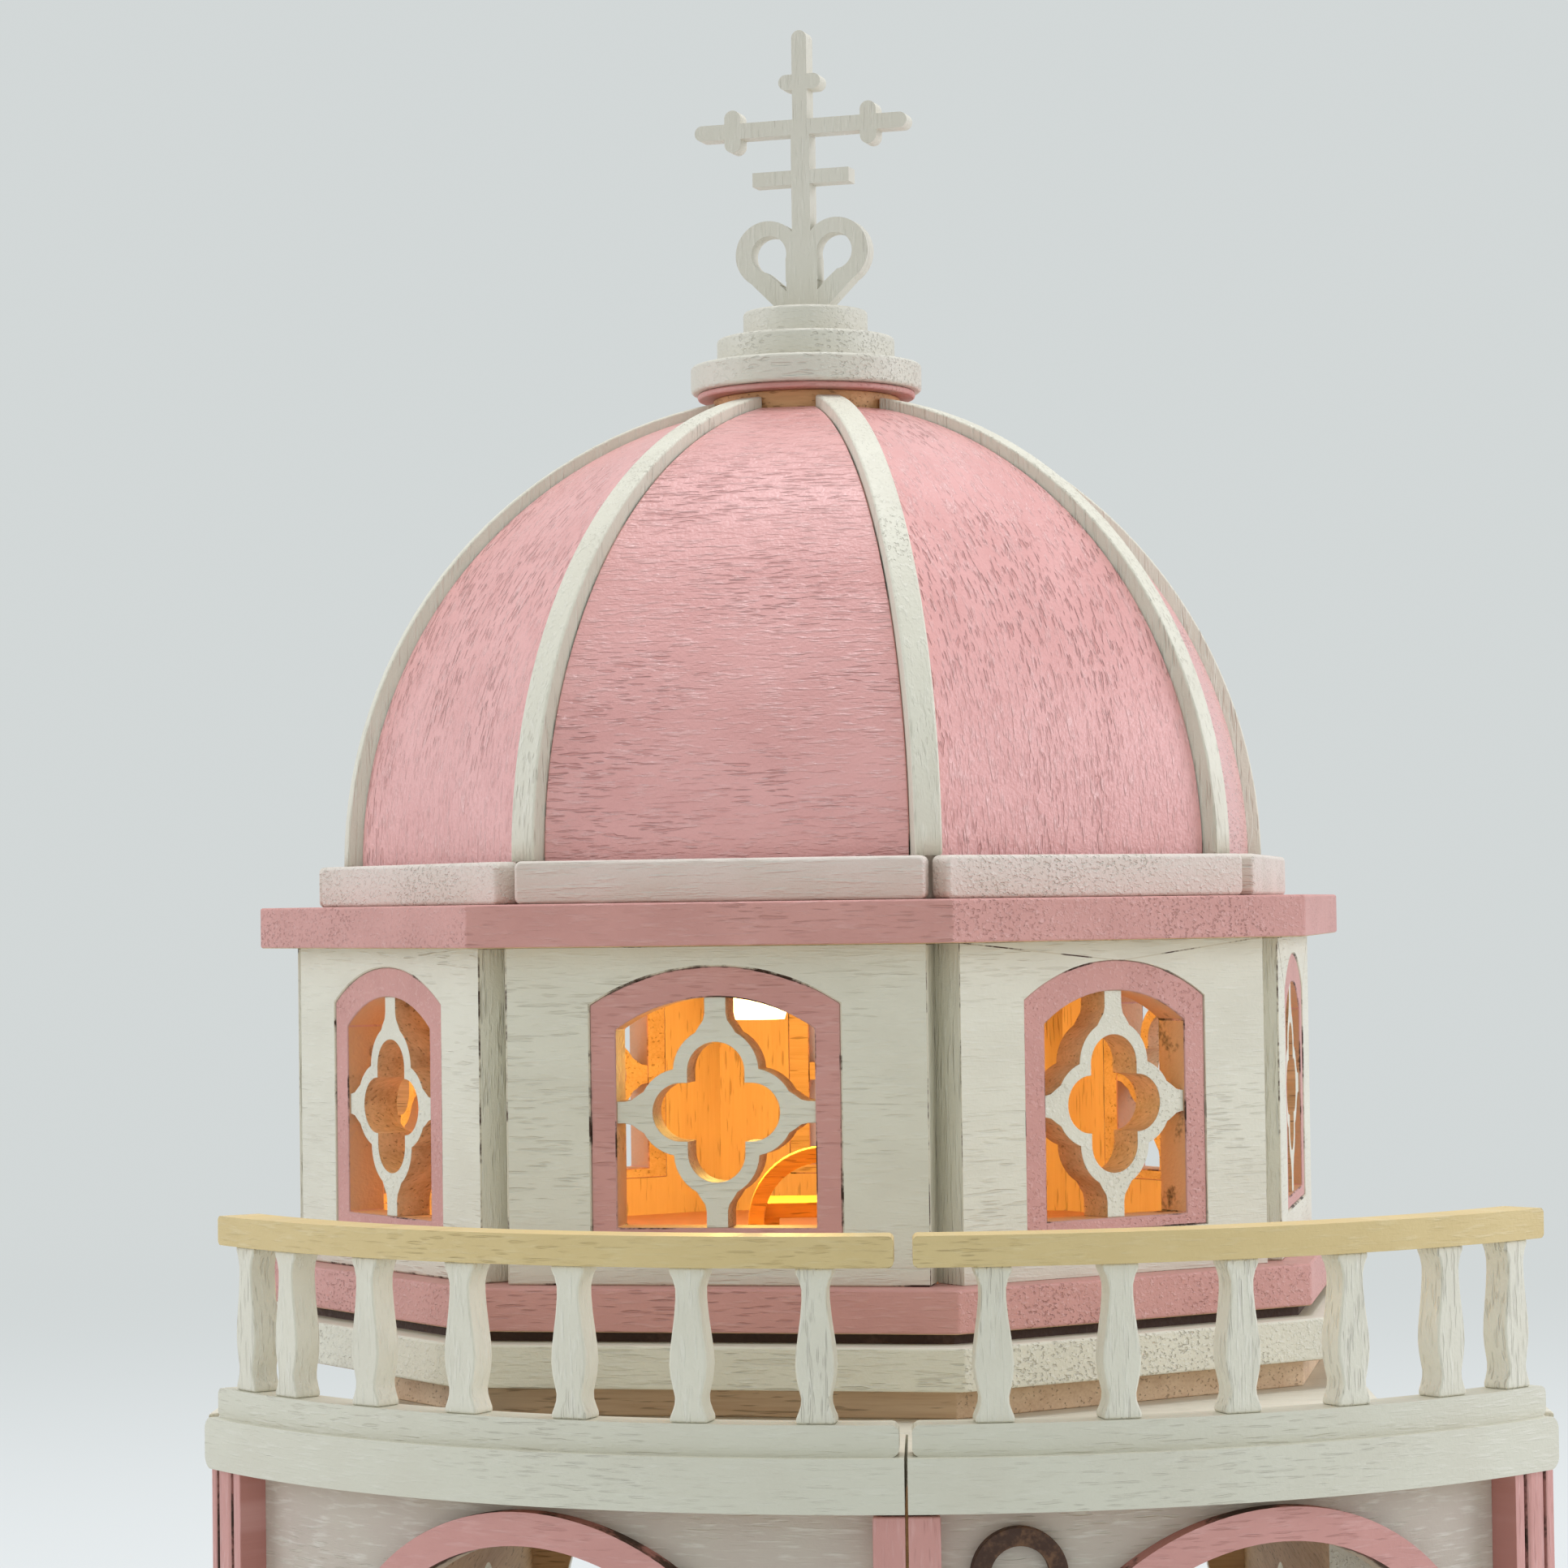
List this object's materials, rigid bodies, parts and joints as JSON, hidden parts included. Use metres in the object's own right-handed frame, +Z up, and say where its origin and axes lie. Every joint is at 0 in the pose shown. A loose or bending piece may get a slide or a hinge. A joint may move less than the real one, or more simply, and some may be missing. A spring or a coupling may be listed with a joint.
{
  "type": "miniature landmark model",
  "caption": "Painted plywood domed octagonal pavilion with tracery windows on a bow-fronted storey, with a balustrade and two opening arched doors.",
  "frame": {"origin": "centre of the bow front's arc, on the underside of the base plate", "axes": "+Z up, -Y towards the seam of the bow front, +X to the right of someone facing the front"},
  "size_m": [0.093, 0.1059, 0.1587],
  "materials": {
    "white_paint": "satin off-white paint on plywood",
    "pink_paint": "satin pink paint on plywood",
    "rose_paint": "satin rose paint on plywood",
    "dome_paint": "pale pink paint on bent veneer",
    "bare_ply": "bare birch plywood",
    "straw_ply": "straw-yellow stained plywood",
    "brown_ply": "brown stained plywood",
    "burnt_ply": "laser-burnt plywood",
    "amber_ply": "bare orange-brown plywood",
    "brass_pin": "drawn brass wire",
    "lamp": "warm translucent cap of a small lamp",
    "holder": "moulded black plastic"
  },
  "bodies": {
    "storey": {"base_plate": "bare_ply", "side_walls": "white_paint", "back_wall": "white_paint", "side_trims": "pink_paint", "core_slab": "white_paint", "hinge_pins": "brass_pin", "plinth_riser": "brown_ply", "plinth_band": "white_paint", "plinth_spacer": "burnt_ply"},
    "left_door": {"door_wall_left": "white_paint", "door_trim_left": "pink_paint", "door_post_left": "rose_paint", "door_stile_left": "rose_paint", "door_floor_left": "white_paint", "fascia_left": "white_paint", "low_rail_left": "white_paint", "balusters_left": "white_paint", "handrail_left": "straw_ply"},
    "right_door": {"door_wall_right": "white_paint", "door_trim_right": "pink_paint", "door_post_right": "rose_paint", "door_stile_right": "rose_paint", "door_floor_right": "white_paint", "fascia_right": "white_paint", "low_rail_right": "white_paint", "balusters_right": "white_paint", "handrail_right": "straw_ply", "wall_ring": "burnt_ply"},
    "pavilion": {"pavilion_floor": "pink_paint", "wall_front": "white_paint", "wall_front_right": "white_paint", "wall_right": "white_paint", "wall_back_right": "white_paint", "wall_back": "white_paint", "wall_back_left": "white_paint", "wall_left": "white_paint", "wall_front_left": "white_paint", "window_frames": "pink_paint", "window_tracery": "white_paint", "hoop_chair": "amber_ply"},
    "roof": {"cornice": "pink_paint", "roof_locator": "bare_ply", "ring_strips": "white_paint", "dome_ribs": "white_paint", "gore_front": "dome_paint", "gore_front_right": "dome_paint", "gore_right": "dome_paint", "gore_back_right": "dome_paint", "gore_back": "dome_paint", "gore_back_left": "dome_paint", "gore_left": "dome_paint", "gore_front_left": "dome_paint", "dome_collar": "amber_ply", "cap_underlay": "pink_paint", "cap_disc_low": "white_paint", "cap_disc_middle": "white_paint", "cap_disc_top": "white_paint", "cross_finial": "white_paint", "ceiling_lamp": "lamp", "battery_box": "holder"}
  },
  "joints": [
    {"name": "left_door_hinge", "type": "hinge", "parent": "storey", "child": "left_door", "pos_m": [-0.04514, -0.03381, 0.0285], "axis": [0, 0, -1], "range_deg": [0, 100]},
    {"name": "right_door_hinge", "type": "hinge", "parent": "storey", "child": "right_door", "pos_m": [0.04007, -0.03969, 0.0285], "axis": [0, 0, 1], "range_deg": [0, 100]},
    {"name": "pavilion_lift", "type": "slide", "parent": "storey", "child": "pavilion", "axis": [0, 0, 1], "range_m": [0, 0.045]},
    {"name": "roof_lift", "type": "slide", "parent": "pavilion", "child": "roof", "axis": [0, 0, 1], "range_m": [0, 0.05]}
  ]
}
